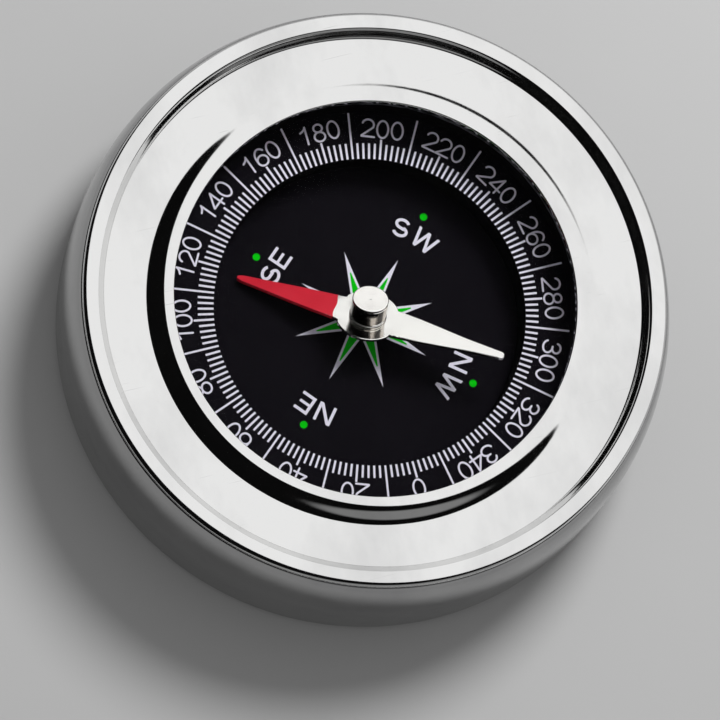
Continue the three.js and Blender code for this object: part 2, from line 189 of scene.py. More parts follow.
def winding(outline):
    """Twice an outline's area, above zero where it runs anticlockwise"""
    return sum(p[0] * q[1] - q[0] * p[1] for p, q in zip(outline, [*outline[1:], outline[0]]))


def plate(name, outlines, bottom, top_at, guides=(), hole=0.0, matrix=None, smooth=True):
    """A closed plate whose plan is the union of outlines. Guides are closed loops that its top
    faces follow, top_at gives the top's height at a place, and hole is a bore on the axis."""
    places = []
    loops = []
    edges = []
    for outline in outlines:
        order = list(range(len(places), len(places) + len(outline)))
        loops.append(order if winding(outline) > 0 else order[::-1])
        places += [Vector(p[:2]) for p in outline]
    bore = [heading(360 * i / BORE_SEGMENTS, hole) for i in range(BORE_SEGMENTS)] if hole else []
    for loop in [*guides, *([bore] if bore else [])]:
        first = len(places)
        places += [Vector(p[:2]) for p in loop]
        edges += [(first + i, first + (i + 1) % len(loop)) for i in range(len(loop))]
    flat, _, triangles, _, _, owners = delaunay_2d_cdt(places, edges, loops, 0, MERGE_DISTANCE)
    kept = []
    for triangle, owner in zip(triangles, owners):
        middle = sum((flat[i] for i in triangle), Vector((0, 0))) / 3
        if owner and middle.length > hole * CHORD_SHARE:
            kept.append(list(triangle))
    used = sorted({i for triangle in kept for i in triangle})
    new = {old: i for i, old in enumerate(used)}
    count = len(used)
    points = [(flat[i].x, flat[i].y, top_at(flat[i].x, flat[i].y)) for i in used]
    points += [(flat[i].x, flat[i].y, bottom) for i in used]
    faces = [[new[i] for i in t] for t in kept]
    directed = {(t[i], t[(i + 1) % 3]) for t in faces for i in range(3)}
    sides = [[b, a, a + count, b + count] for a, b in directed if (b, a) not in directed]
    faces += [[i + count for i in reversed(t)] for t in faces] + sides
    return make_object(name, points, faces, matrix, smooth)


def stroke(path, width, round_ends=True):
    """The outline of a pen stroke along a path"""
    path = [Vector(p) for p in path]
    left = []
    right = []
    for i, p in enumerate(path):
        along = (path[min(i + 1, len(path) - 1)] - path[max(i - 1, 0)]).normalized()
        across = Vector((-along.y, along.x)) * width / 2
        left.append(p + across)
        right.append(p - across)
    if not round_ends:
        return right + left[::-1]
    return right + cap(path[-1], right[-1])[1:-1] + left[::-1] + cap(path[0], left[0])[1:-1]


def cap(centre, start, steps=8):
    """The round end of a stroke: half a turn from a start point, anticlockwise"""
    arm = start - centre
    return [centre + Matrix.Rotation(math.pi * i / steps, 2) @ arm for i in range(steps + 1)]


def circle(x, y, radius, steps=40):
    """A closed round outline"""
    return arc(x, y, radius, radius, 0, 360, steps)[:-1]


def placed(outline, centre, turn):
    """An outline turned clockwise by an angle in degrees and moved to a place"""
    spin = Matrix.Rotation(math.radians(-turn), 2)
    return [spin @ Vector(p) + Vector(centre) for p in outline]


# Materials

QUARTER_TURN = 0.25
GLASS_POWER = 7.0
GLASS_CLEAR = 0.012
GLASS_MIRROR = 0.5
WALL_GRAIN = 0.8


def add_node(tree, kind, inputs=(), **settings):
    """A shader node with its settings, and each input linked or set"""
    made = tree.nodes.new(kind)
    for setting, value in settings.items():
        setattr(made, setting, value)
    for socket, value in dict(inputs).items():
        if isinstance(value, bpy.types.NodeSocket):
            tree.links.new(value, made.inputs[socket])
        else:
            made.inputs[socket].default_value = value
    return made


class Look:
    """A material with a Principled shader and short ways to its usual nodes"""

    def __init__(self, name, colour, metallic=0.0, roughness=0.5, specular=0.5, sheen=0.0, coat=0.0):
        self.material = bpy.data.materials.new(name)
        self.material.use_nodes = True
        self.tree = self.material.node_tree
        self.shader = self.tree.nodes["Principled BSDF"]
        self.shader.inputs["Base Color"].default_value = (*colour, 1)
        self.shader.inputs["Metallic"].default_value = metallic
        self.shader.inputs["Roughness"].default_value = roughness
        self.shader.inputs["Specular IOR Level"].default_value = specular
        self.shader.inputs["Sheen Weight"].default_value = sheen
        self.shader.inputs["Coat Weight"].default_value = coat
        self.place = self.node("ShaderNodeTexCoord").outputs["Object"]

    def node(self, kind, inputs=(), **settings):
        return add_node(self.tree, kind, inputs, **settings)

    def feed(self, value, socket):
        """Links a value to an input of the shader"""
        self.tree.links.new(value, self.shader.inputs[socket])

    def stretched(self, scale):
        """The place with each axis scaled by itself"""
        mapping = self.node("ShaderNodeMapping", {"Vector": self.place, "Scale": scale})
        return mapping.outputs["Vector"]

    def radius(self):
        """The distance from the piece's own axis, as a place for turned lines"""
        split = self.node("ShaderNodeSeparateXYZ", {"Vector": self.place})
        flat = self.node("ShaderNodeCombineXYZ", {"X": split.outputs["X"], "Y": split.outputs["Y"]})
        length = self.node("ShaderNodeVectorMath", {0: flat.outputs["Vector"]}, operation="LENGTH")
        line = self.node("ShaderNodeCombineXYZ", {"X": length.outputs["Value"], "Y": split.outputs["Z"]})
        return line.outputs["Vector"]

    def grain_about_axis(self, grain):
        """Turned lines round the piece's own axis, which spread a mirrored light across them"""
        about_axis = self.node("ShaderNodeTangent", direction_type="RADIAL", axis="Z").outputs["Tangent"]
        self.feed(about_axis, "Tangent")
        self.shader.inputs["Anisotropic"].default_value = grain
        self.shader.inputs["Anisotropic Rotation"].default_value = QUARTER_TURN

    def noise(self, scale, detail=3.0, rough=0.55, place=None):
        inputs = {"Vector": place or self.place, "Scale": scale, "Detail": detail, "Roughness": rough}
        return self.node("ShaderNodeTexNoise", inputs).outputs["Fac"]

    def pits(self, scale):
        """The distance to scattered points"""
        inputs = {"Vector": self.place, "Scale": scale}
        return self.node("ShaderNodeTexVoronoi", inputs).outputs["Distance"]

    def between(self, value, low, high, to_low, to_high):
        """A value's range moved to another range, with its ends held"""
        inputs = {"Value": value, "From Min": low, "From Max": high, "To Min": to_low, "To Max": to_high}
        return self.node("ShaderNodeMapRange", inputs, clamp=True).outputs["Result"]

    def maths(self, operation, first, second):
        return self.node("ShaderNodeMath", {0: first, 1: second}, operation=operation).outputs["Value"]

    def colour(self, share, first, second):
        """Mixes two colours by a share of the second"""
        inputs = {0: share, 6: (*first, 1), 7: (*second, 1)}
        self.feed(self.node("ShaderNodeMix", inputs, data_type="RGBA").outputs[2], "Base Color")

    def roughness(self, value, low, high, smooth, rough):
        """Roughness that follows a value between its low and high ends"""
        self.feed(self.between(value, low, high, smooth, rough), "Roughness")

    def bump(self, *layers):
        """Bump layers, each a height, a strength and a depth in metres"""
        normal = None
        for height, strength, depth in layers:
            inputs = {"Height": height, "Strength": strength, "Distance": depth}
            if normal is not None:
                inputs["Normal"] = normal
            normal = self.node("ShaderNodeBump", inputs).outputs["Normal"]
        self.feed(normal, "Normal")


def polished_steel(name, colour, dull, haze, roughness):
    """Mirror steel with faint smears, hair scratches and a few tiny pits"""
    look = Look(name, colour, metallic=1.0)
    smears = look.between(look.noise(70, 5, 0.6, look.stretched((1.0, 0.55, 1.0))), 0.46, 0.66, 0, haze)
    scratches = look.between(look.noise(5200, 2, 0.5, look.stretched((0.02, 1.0, 0.3))), 0.70, 0.76, 0, 0.7)
    look.colour(look.maths("MAXIMUM", smears, scratches), colour, dull)
    cloth = look.noise(300, 5, 0.7)
    look.roughness(cloth, 0.3, 0.75, roughness, roughness * 2.4)
    hairs = look.noise(900, 2, 0.5, look.stretched((0.08, 1.0, 0.3)))
    crossed = look.noise(800, 2, 0.5, look.stretched((1.0, 0.07, 0.4)))
    swell = look.noise(60, 2, 0.5)
    pits = look.between(look.pits(420), 0.0, 0.06, 0, 1)
    look.bump(
        (hairs, 0.06, 0.00005),
        (crossed, 0.05, 0.00005),
        (swell, 0.10, 0.0002),
        (pits, 0.06, 0.00002),
    )
    return look.material


def turned_metal(name, colour, dull, roughness, lines, depth, grain=0.5):
    """Metal from a lathe: fine lines about the piece's own axis, with faint stains"""
    look = Look(name, colour, metallic=1.0)
    look.grain_about_axis(grain)
    stains = look.noise(700, 3, 0.6)
    look.colour(look.between(stains, 0.45, 0.75, 0, 0.6), colour, dull)
    rings = look.noise(lines, 2, 0.6, look.radius())
    look.roughness(rings, 0.3, 0.7, roughness, roughness * 1.4)
    look.bump((rings, depth, 0.00002), (look.noise(500, 2, 0.5), 0.05, 0.00004))
    return look.material


def streaked_metal(name, colour, shade, roughness):
    """Plated metal for a wall, with painted reflections: lengthwise painted bands that run from its colour
    down to a near-black painted shade colour
    """
    look = Look(name, colour, metallic=1.0)
    look.grain_about_axis(WALL_GRAIN)
    painted_reflection_bands = look.noise(520, 1, 0.4, look.stretched((1.0, 1.0, 0.02)))
    look.colour(look.between(painted_reflection_bands, 0.44, 0.54, 0, 1), colour, shade)
    look.roughness(look.noise(2400, 2), 0.3, 0.7, roughness, roughness * 1.6)
    look.bump((look.noise(9000, 2, 0.6, look.radius()), 0.02, 0.00002))
    return look.material


def brushed_metal(name, colour, dull, roughness):
    """Metal with a straight grain"""
    look = Look(name, colour, metallic=1.0)
    grain = look.noise(2600, 3, 0.6, look.stretched((0.04, 1.0, 1.0)))
    look.colour(look.between(grain, 0.3, 0.7, 0, 0.8), colour, dull)
    look.roughness(grain, 0.3, 0.7, roughness, roughness * 1.5)
    look.bump((grain, 0.25, 0.00003))
    return look.material


def moulded_black(name, colour, worn, roughness, specular, grain):
    """Black plastic or painted metal with a fine grain"""
    look = Look(name, colour, roughness=roughness, specular=specular)
    cloud = look.noise(180, 4, 0.6)
    look.colour(look.between(cloud, 0.3, 0.7, 0, 1), colour, worn)
    look.roughness(look.noise(900, 2), 0.3, 0.7, roughness, min(1.0, roughness * 1.25))
    look.bump((look.noise(grain, 2, 0.6), 0.12, 0.00003))
    return look.material


def print_ink(name, colour, thin):
    """Screen ink: a little uneven, with a soft tooth"""
    look = Look(name, colour, roughness=0.6, specular=0.15)
    cover = look.noise(2600, 4, 0.7)
    look.colour(look.between(cover, 0.35, 0.75, 0, 1), colour, thin)
    look.roughness(cover, 0.3, 0.7, 0.5, 0.75)
    look.bump((look.noise(9000, 2), 0.1, 0.00001))
    return look.material


def make_lacquer():
    """Red needle lacquer, darker where it is thick"""
    bright = (0.61, 0.020, 0.040)
    deep = (0.54, 0.012, 0.028)
    look = Look("red_lacquer", bright, roughness=0.38, specular=0.35)
    look.colour(look.between(look.noise(260, 3), 0.35, 0.7, 0, 1), bright, deep)
    look.roughness(look.noise(1500, 3), 0.3, 0.7, 0.32, 0.5)
    look.bump((look.noise(2200, 2, 0.5), 0.12, 0.00003))
    return look.material


def make_glass():
    """Clear flat glass: nearly unseen from above, with the sky on it at a low angle"""
    look = Look("clear_glass", (0.0, 0.0, 0.0), roughness=0.02, specular=0.5)
    facing = look.node("ShaderNodeLayerWeight", {"Blend": 0.5}).outputs["Facing"]
    steep = look.maths("POWER", facing, GLASS_POWER)
    look.feed(look.between(steep, 0, 1, GLASS_CLEAR, GLASS_MIRROR), "Alpha")
    look.roughness(look.noise(90, 3), 0.35, 0.7, 0.015, 0.035)
    return look.material


def make_felt():
    """Pressed felt: short crossed fibres"""
    dark = (0.018, 0.019, 0.016)
    pale = (0.045, 0.046, 0.040)
    look = Look("base_felt", dark, roughness=0.95, specular=0.1, sheen=0.35)
    one = look.noise(1600, 4, 0.75, look.stretched((1.0, 0.25, 1.0)))
    two = look.noise(1600, 4, 0.75, look.stretched((0.25, 1.0, 1.0)))
    fibres = look.maths("MULTIPLY", one, two)
    look.colour(look.between(fibres, 0.15, 0.4, 0, 1), dark, pale)
    look.bump((fibres, 0.8, 0.0002))
    return look.material


def make_rubber():
    dark = (0.010, 0.010, 0.010)
    bloom = (0.028, 0.028, 0.030)
    look = Look("seal_rubber", dark, roughness=0.75, specular=0.3)
    look.colour(look.between(look.noise(400, 4), 0.4, 0.75, 0, 1), dark, bloom)
    look.bump((look.noise(3000, 2), 0.2, 0.00003))
    return look.material


def make_jewel():
    """Polished red bearing stone"""
    red = (0.40, 0.03, 0.06)
    look = Look("jewel", red, roughness=0.06, specular=0.7, coat=0.5)
    look.colour(look.between(look.noise(1800, 3), 0.4, 0.7, 0, 1), red, (0.22, 0.01, 0.03))
    look.roughness(look.noise(4000, 2), 0.3, 0.7, 0.04, 0.1)
    return look.material


STEEL = (0.76, 0.76, 0.756)
STEEL_DULL = (0.59, 0.59, 0.59)
# The case's steel is the ring's polished steel at about half its brightness: painted shade for the darker
# room that the case's side mirrors
CASE_STEEL_PAINTED_DARK = (0.385, 0.385, 0.385)
CASE_STEEL_DULL_PAINTED_DARK = (0.29, 0.29, 0.294)

ring_steel = polished_steel("ring_steel", STEEL, STEEL_DULL, 0.6, 0.045)
# Painted shade: the case is darker than the ring, though both are the same polished steel
case_steel = polished_steel("case_steel", CASE_STEEL_PAINTED_DARK, CASE_STEEL_DULL_PAINTED_DARK, 0.6, 0.10)
nickel = turned_metal("hub_nickel", (0.98, 0.965, 0.93), (0.88, 0.86, 0.82), 0.085, 9000, 0.02, 0.9)
# The hub's wall: the cap's nickel painted far darker as shade, with painted reflection bands along it
painted_dark_wall_nickel = streaked_metal("hub_wall_painted_dark", (0.44, 0.40, 0.36), (0.035, 0.031, 0.028), 0.07)
blade_nickel = polished_steel("blade_nickel", (0.99, 0.985, 0.95), (0.90, 0.89, 0.85), 0.3, 0.07)
brass = turned_metal("turned_brass", (0.60, 0.42, 0.17), (0.42, 0.28, 0.10), 0.2, 7000, 0.25)
hard_steel = brushed_metal("hard_steel", (0.42, 0.43, 0.45), (0.28, 0.28, 0.30), 0.24)
base_steel = brushed_metal("base_steel", (0.60, 0.60, 0.59), (0.46, 0.46, 0.45), 0.28)
dial_black = moulded_black(
    "dial_black", (0.0042, 0.0036, 0.0054), (0.0056, 0.0048, 0.0070), 0.6, 0.06, 5000
)
black_plastic = moulded_black(
    "black_plastic", (0.0030, 0.0028, 0.0032), (0.0050, 0.0048, 0.0052), 0.55, 0.05, 3000
)
ink_white = print_ink("ink_white", (0.84, 0.82, 0.92), (0.72, 0.70, 0.82))
ink_green = print_ink("ink_green", (0.0, 0.62, 0.003), (0.0, 0.50, 0.003))
lacquer = make_lacquer()
glass = make_glass()
felt = make_felt()
rubber = make_rubber()
jewel_red = make_jewel()


def dress(piece, body, slot, material, *nodes):
    """Gives a piece its material, the body that it rides on and the nodes that it stands for"""
    piece.data.materials.clear()
    piece.data.materials.append(material)
    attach(piece, body)
    if nodes:
        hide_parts(*nodes)


# Case

CASE_BULGE = 1.35
CASE_FOOT_DRAW = 0.1
BULGE_POWER = 2.4
SHEET = 1.0
CORNER_WIDTH = 1.0
CORNER_HEIGHT = 1.0
EDGE_ROUND = 0.25
LAND_WIDTH = 4.45
LEDGE_WIDTH = 4.8
LEDGE_THICKNESS = 1.2
RIM_DEPTH = 3.5
RIM_BORE = 34.6
SCREW_HOLE = 1.1
DRILL_REACH = 1
CORNER_STEPS = 14
SIDE_STEPS = 36
INNER_SIDE_STEPS = 12


def case_side(height):
    """The case's outer radius at a height"""
    low = case_low.z + CORNER_HEIGHT
    middle = (low + case_high.z) / 2
    share = abs(height - middle) / (case_high.z - middle)
    drop = CASE_BULGE if height > middle else CASE_FOOT_DRAW
    return case_high.x - drop * share**BULGE_POWER


def side_points(start, end, steps, inset=0.0):
    """Points up the case's side between two heights, moved inwards by an inset"""
    return [(case_side(h) - inset, h) for h in evenly(start, end, steps)]


def cut_at_screws(piece, radius):
    """Bores the screw holes, which the lathe can't make"""
    for low, high in screw_boxes:
        middle = (low + high) / 2
        start = low.z - DRILL_REACH
        bit = [(0, start), (radius, start), (radius, high.z), (0, high.z)]
        drill = lathe("drill", bit, DRILL_SEGMENTS)
        drill.location = (middle.x * MM, middle.y * MM, 0)
        bpy.context.view_layer.update()
        cut = piece.modifiers.new("bore", "BOOLEAN")
        cut.object = drill
        cut.operation = "DIFFERENCE"
        cut.solver = "EXACT"
        graph = bpy.context.evaluated_depsgraph_get()
        bored = bpy.data.meshes.new_from_object(piece.evaluated_get(graph))
        piece.modifiers.clear()
        piece.data = bored
        bpy.data.objects.remove(drill)
    piece.data.shade_smooth()
    piece.data.set_sharp_from_angle(angle=CREASE)
    return piece


def make_case():
    corner_top = case_low.z + CORNER_HEIGHT
    corner_centre = case_side(corner_top) - CORNER_WIDTH
    recess = corner_centre - LAND_WIDTH
    ledge_low = plate_high.z
    ledge_high = ledge_low + LEDGE_THICKNESS
    rim_round = arc(
        case_side(case_high.z) - EDGE_ROUND, case_high.z - EDGE_ROUND, EDGE_ROUND, EDGE_ROUND, 0, 90, 6
    )
    section = [
        (recess - LEDGE_WIDTH, ledge_low),
        (recess, ledge_low),
        (recess, case_low.z + EDGE_ROUND / 2),
        (recess + EDGE_ROUND / 2, case_low.z),
        *arc(corner_centre, corner_top, CORNER_WIDTH, CORNER_HEIGHT, -90, 0, CORNER_STEPS),
        *side_points(corner_top, case_high.z - EDGE_ROUND, SIDE_STEPS)[1:-1],
        *rim_round,
        (RIM_BORE + EDGE_ROUND / 2, case_high.z),
        (RIM_BORE, case_high.z - EDGE_ROUND / 2),
        (RIM_BORE, case_high.z - RIM_DEPTH),
        *side_points(case_high.z - RIM_DEPTH, ledge_high + SHEET, INNER_SIDE_STEPS, SHEET),
        (case_side(ledge_high) - 2 * SHEET, ledge_high),
        (recess - LEDGE_WIDTH, ledge_high),
    ]
    case = cut_at_screws(lathe("case_body", section), SCREW_HOLE)
    dress(case, "case", "case_steel", case_steel, "case_shell")


# Front ring: lip, slope, flange and bead, with its collar and skirt inside the case

LIP_HEIGHT = 0.72
LIP_ROUND = 0.2
LIP_COVER = 0.55
LIP_CREST_WIDTH = 1.15
LIP_SLOPE_WIDTH = 2.25
FLANGE_DROP = 0.4
FLANGE_DISH = 0.1
FLANGE_THICKNESS = 0.8
BEAD_WIDTH = 2.9
BEAD_RISE_WIDTH = 1.2
CREST_FALL = 0.07
BEAD_ROUND_WIDTH = 0.75
BEAD_ROUND_HEIGHT = 0.35
COLLAR_WALL = 0.9
COLLAR_LIP = 0.6
GROOVE_RADIUS = 26.8
SKIRT_WALL = 0.9
SKIRT_FIT = 0.3
LIP_EASE = 0.65
BEAD_EASE = 0.9
SNAP_REACH = 0.6
SNAP_HEIGHT = 0.5
SEAL_GROOVE_DEPTH = 0.45
LINER_WALL = 0.5
COLLAR_FIT = 0.1
SEAT_FIT = 0.05
SNAP_FIT = 0.1
SEAL_FIT = 0.1
DISH_STEPS = 16
RISE_STEPS = 36
SLOPE_STEPS = 40


def soft_step(start, end, steps, ease):
    """Points from one level to another. An ease of 1 leaves no corner at the ends, 0 is straight."""
    points = []
    for t in evenly(0, 1, steps):
        share = ease * (1 - math.cos(math.pi * t)) / 2 + (1 - ease) * t
        points.append((start[0] + (end[0] - start[0]) * t, start[1] + (end[1] - start[1]) * share))
    return points


def make_front_ring():
    window = liner_high.x - LINER_WALL - LIP_COVER
    seat = gasket_top
    flange = seat - FLANGE_DROP
    lip_top = seat + LIP_HEIGHT
    crest_outer = window + LIP_CREST_WIDTH
    slope_end = crest_outer + LIP_SLOPE_WIDTH
    collar_bore = liner_high.x + COLLAR_FIT
    collar_outer = GROOVE_RADIUS + COLLAR_WALL
    collar_low = retainer_low.z - SEAT_FIT
    pocket = crystal_high.x + COLLAR_FIT
    pocket_low = crystal_low.z + SEAT_FIT
    bead_foot = RIM_BORE - SKIRT_WALL - SKIRT_FIT
    bead_outer = bead_foot + BEAD_WIDTH
    skirt_outer = bead_foot + SKIRT_WALL
    crown = bezel_high.z
    round_middle = (bead_outer - BEAD_ROUND_WIDTH, crown - BEAD_ROUND_HEIGHT)
    bead_round = arc(*round_middle, BEAD_ROUND_WIDTH, BEAD_ROUND_HEIGHT, 0, 90, 16)
    rise_top = (bead_foot + BEAD_RISE_WIDTH, crown - CREST_FALL)
    under_flange = flange - FLANGE_DISH - FLANGE_THICKNESS
    seal_low, seal_high = span("bezel_seal")
    seal_floor = skirt_outer - SEAL_GROOVE_DEPTH
    snap_top = case_high.z - RIM_DEPTH - SNAP_FIT
    dish = [
        (bead_foot + (slope_end - bead_foot) * t, flange - FLANGE_DISH * math.sin(math.pi * t))
        for t in evenly(0, 1, DISH_STEPS)[1:-1]
    ]
    section = [
        (window, seat),
        (pocket, seat),
        (pocket, pocket_low),
        (GROOVE_RADIUS, pocket_low),
        (GROOVE_RADIUS, collar_low),
        (collar_bore, collar_low),
        (collar_bore, collar_low - COLLAR_LIP),
        (collar_outer, collar_low - COLLAR_LIP),
        (collar_outer, under_flange),
        (bead_foot, under_flange),
        (bead_foot, bezel_low.z),
        (skirt_outer, bezel_low.z),
        (skirt_outer + SNAP_REACH, snap_top - SNAP_HEIGHT / 2),
        (skirt_outer + SNAP_REACH, snap_top),
        (skirt_outer, snap_top),
        (skirt_outer, seal_low.z - SEAL_FIT),
        (seal_floor, seal_low.z - SEAL_FIT),
        (seal_floor, seal_high.z + SEAL_FIT),
        (skirt_outer, seal_high.z + SEAL_FIT),
        (skirt_outer, case_high.z),
        *arc(bead_outer - EDGE_ROUND, case_high.z + EDGE_ROUND, EDGE_ROUND, EDGE_ROUND, -90, 0, 5),
        *bead_round[1:],
        *soft_step(rise_top, (bead_foot, flange), RISE_STEPS, BEAD_EASE),
        *dish,
        *soft_step((slope_end, flange), (crest_outer, lip_top), SLOPE_STEPS, LIP_EASE),
        *arc(window + LIP_ROUND, lip_top - LIP_ROUND, LIP_ROUND, LIP_ROUND, 90, 180, 10),
    ]
    ring = lathe("front_ring", section)
    dress(ring, "case", "polished_steel", ring_steel, "bezel")


# Glass, wall, degree ring and dial

LINER_EDGE = 0.06
GLASS_BEVEL = 0.25
DIAL_BORE = 1.3
DIAL_EDGE = 0.05
WELL_OFF_CENTRE = Vector((-0.125, 0.265))
WELL_RADIUS = 19.58


def make_glass_disc():
    section = disc_section(crystal_low, crystal_high, GLASS_BEVEL)
    dress(lathe("glass_disc", section), "case", "glass", glass, "crystal")


def make_liner():
    inner = liner_high.x - LINER_WALL
    section = ring_section(inner, liner_high.x, liner_low.z, liner_high.z, LINER_EDGE)
    dress(lathe("liner_wall", section), "case", "black_plastic", black_plastic, "liner_ring")


def make_degree_ring():
    """The ring's well is a little off centre, as in the photographed compass"""
    outer = circle(0, 0, ring_high.x, RING_SEGMENTS)
    inner = circle(WELL_OFF_CENTRE.x, WELL_OFF_CENTRE.y, WELL_RADIUS, RING_SEGMENTS)
    points = [(x, y, height) for height in (ring_low.z, ring_high.z) for x, y in outer + inner]
    n = RING_SEGMENTS
    faces = []
    for j in range(n):
        k = (j + 1) % n
        faces.append([j, k, 2 * n + k, 2 * n + j])
        faces.append([n + k, n + j, 3 * n + j, 3 * n + k])
        faces.append([2 * n + j, 2 * n + k, 3 * n + k, 3 * n + j])
        faces.append([k, j, n + j, n + k])
    ring = make_object("degree_ring", points, faces)
    dress(ring, "case", "dial_black", dial_black, "chapter_ring")


def make_dial():
    section = ring_section(DIAL_BORE, dial_high.x, dial_low.z, dial_high.z, DIAL_EDGE)
    dress(lathe("dial_face", section), "case", "dial_black", dial_black, "dial_disc")


# Printed scale

INK = 0.02
# A print that can lie over another one is thicker
NUMBER_INK = 0.022
CORE_INK = 0.03
TICK_WIDTH = 0.27
LINE_WIDTH = 0.25
TICK_STEP = 2
TICK_GAP = 0.03
TICK_ROUND = 0.06
NUMBER_STEP = 20
SHORT_END = 21.40
MIDDLE_END = 22.0
LONG_END = 25.35
DIGIT_PEN = 0.25
DIGIT_ADVANCE = 1.85
DIGIT_BASE = 22.22
DIGIT_SHIFT = 0.10
HALF_STROKE = 200


def closed_stroke(x, y, radius_x, radius_y, steps):
    """An oval drawn with the pen in two halves that overlap"""
    return [arc(x, y, radius_x, radius_y, a, a + HALF_STROKE, steps) for a in (80, -100)]


# Each digit's pen strokes, about its middle and up from its foot
DIGITS = {
    "0": closed_stroke(0, 1.11, 0.70, 1.11, 24),
    "1": [[(0.22, -0.0), (0.22, 2.2)], [(0.22, 2.2), (0.12, 1.98), (-0.12, 1.76), (-0.47, 1.58)]],
    "2": [
        arc(-0.02, 1.55, 0.72, 0.67, 165, -32, 20),
        [(0.59, 1.20), (-0.78, 0.06)],
        [(-0.78, 0.0), (0.82, 0.0)],
    ],
    "3": [
        arc(0.0, 1.70, 0.62, 0.52, 175, -80, 20),
        arc(0.0, 0.60, 0.78, 0.60, 88, -162, 22),
        [(0.1, 1.19), (-0.12, 1.19)],
    ],
    "4": [[(0.34, -0.0), (0.34, 2.2)], [(-0.85, 0.58), (0.80, 0.58)], [(0.34, 2.2), (-0.85, 0.62)]],
    "6": [*closed_stroke(0.05, 0.67, 0.69, 0.67, 20), arc(0.14, 1.05, 0.79, 1.17, 42, 195, 22)],
    "8": [*closed_stroke(0, 1.72, 0.55, 0.50, 18), *closed_stroke(0, 0.61, 0.68, 0.61, 18)],
}


def make_print(name, outlines, surface, material, thickness=INK):
    """Ink of a small thickness on a surface, sunk into it by half of that"""
    top = surface + thickness
    piece = plate(name, outlines, surface - thickness / 2, lambda x, y: top, smooth=False)
    dress(piece, "case", "dial_black", material)


def well_edge(degrees):
    """The well's radius at a heading"""
    along = heading(degrees)
    side = WELL_OFF_CENTRE.dot(along)
    across = WELL_OFF_CENTRE.length_squared - side**2
    return side + math.sqrt(WELL_RADIUS**2 - across)


def make_ticks():
    bars = []
    for degrees in range(0, 360, TICK_STEP):
        end = SHORT_END
        width = TICK_WIDTH
        if degrees % NUMBER_STEP == 0:
            end = MIDDLE_END
        if degrees % NUMBER_STEP == NUMBER_STEP / 2:
            end = LONG_END
            width = LINE_WIDTH
        start = well_edge(degrees) + TICK_GAP
        corner = width / 2 - TICK_ROUND
        bar = [
            (-width / 2, start),
            (width / 2, start),
            *arc(corner, end - TICK_ROUND, TICK_ROUND, TICK_ROUND, 0, 90, 3),
            *arc(-corner, end - TICK_ROUND, TICK_ROUND, TICK_ROUND, 90, 180, 3),
        ]
        bars.append(placed(bar, (0, 0), degrees))
    make_print("scale_ticks", bars, ring_high.z, ink_white)


def make_numbers():
    outlines = []
    for degrees in range(0, 360, NUMBER_STEP):
        text = str(degrees)
        for i, digit in enumerate(text):
            x = (i - (len(text) - 1) / 2) * DIGIT_ADVANCE + DIGIT_SHIFT
            for path in DIGITS[digit]:
                outline = [p + Vector((x, DIGIT_BASE)) for p in stroke(path, DIGIT_PEN)]
                outlines.append(placed(outline, (0, 0), degrees))
    make_print("scale_numbers", outlines, ring_high.z, ink_white, NUMBER_INK)


# Printed star, letters and dots

PRINT_SHIFT = Vector((-0.07, 0.12))
STAR_POINTS = 8
STAR_TIP = 8.95
STAR_HALF_ANGLE = math.radians(7.5)
STAR_BORDER = 0.28
STAR_CORE_END = 6.2
LETTER_HEIGHT = 2.5
LETTER_PEN = 0.38
N_SIDE = 1.125
N_PEN = 0.48
E_SIDE = 0.975
W_PEN = 0.39
DOT_RADIUS = 0.47


def star_outline(border, blunt_at=None):
    """The star, drawn in by a border and cut blunt at a radius"""
    turn = 360 / STAR_POINTS
    slope = math.tan(STAR_HALF_ANGLE)
    reach = STAR_TIP - border / math.sin(STAR_HALF_ANGLE)
    valley_slope = math.tan(math.radians(turn / 2))
    valley = reach * slope / (valley_slope + slope)
    outline = []
    for i in range(STAR_POINTS):
        if blunt_at is None:
            tip = [(0, reach)]
        else:
            half = (reach - blunt_at) * slope
            tip = [(-half, blunt_at), (half, blunt_at)]
        outline += placed([*tip, (valley * valley_slope, valley)], PRINT_SHIFT, turn * i)
    return outline


def slanted(top_x, bottom_x, width):
    """A leaning letter stroke between level ends, given by its left edge"""
    return [(bottom_x, 0), (bottom_x + width, 0), (top_x + width, LETTER_HEIGHT), (top_x, LETTER_HEIGHT)]


def block(left, right, bottom, top):
    """A straight letter stroke"""
    return [(left, bottom), (right, bottom), (right, top), (left, top)]


LETTERS = {
    "N": [
        block(-N_SIDE, LETTER_PEN - N_SIDE, 0, LETTER_HEIGHT),
        block(N_SIDE - LETTER_PEN, N_SIDE, 0, LETTER_HEIGHT),
        slanted(-N_SIDE, N_SIDE - N_PEN, N_PEN),
    ],
    "E": [
        block(-E_SIDE, LETTER_PEN - E_SIDE, 0, LETTER_HEIGHT),
        block(-E_SIDE, E_SIDE, LETTER_HEIGHT - LETTER_PEN, LETTER_HEIGHT),
        block(-E_SIDE, 0.745, 1.09, 1.44),
        block(-E_SIDE, E_SIDE, 0, LETTER_PEN),
    ],
    "S": [
        stroke(arc(0.0, 1.74, 0.78, 0.55, 22, 250, 22), LETTER_PEN, False),
        stroke([(-0.30, 1.235), (0.0, 1.20), (0.30, 1.13)], LETTER_PEN, True),
        stroke(arc(0.0, 0.77, 0.82, 0.56, 72, -162, 24), LETTER_PEN, False),
    ],
    "W": [
        slanted(-1.60, -0.96, W_PEN),
        slanted(-0.19, -0.96, W_PEN),
        slanted(-0.19, 0.57, W_PEN),
        slanted(1.21, 0.57, W_PEN),
    ],
}
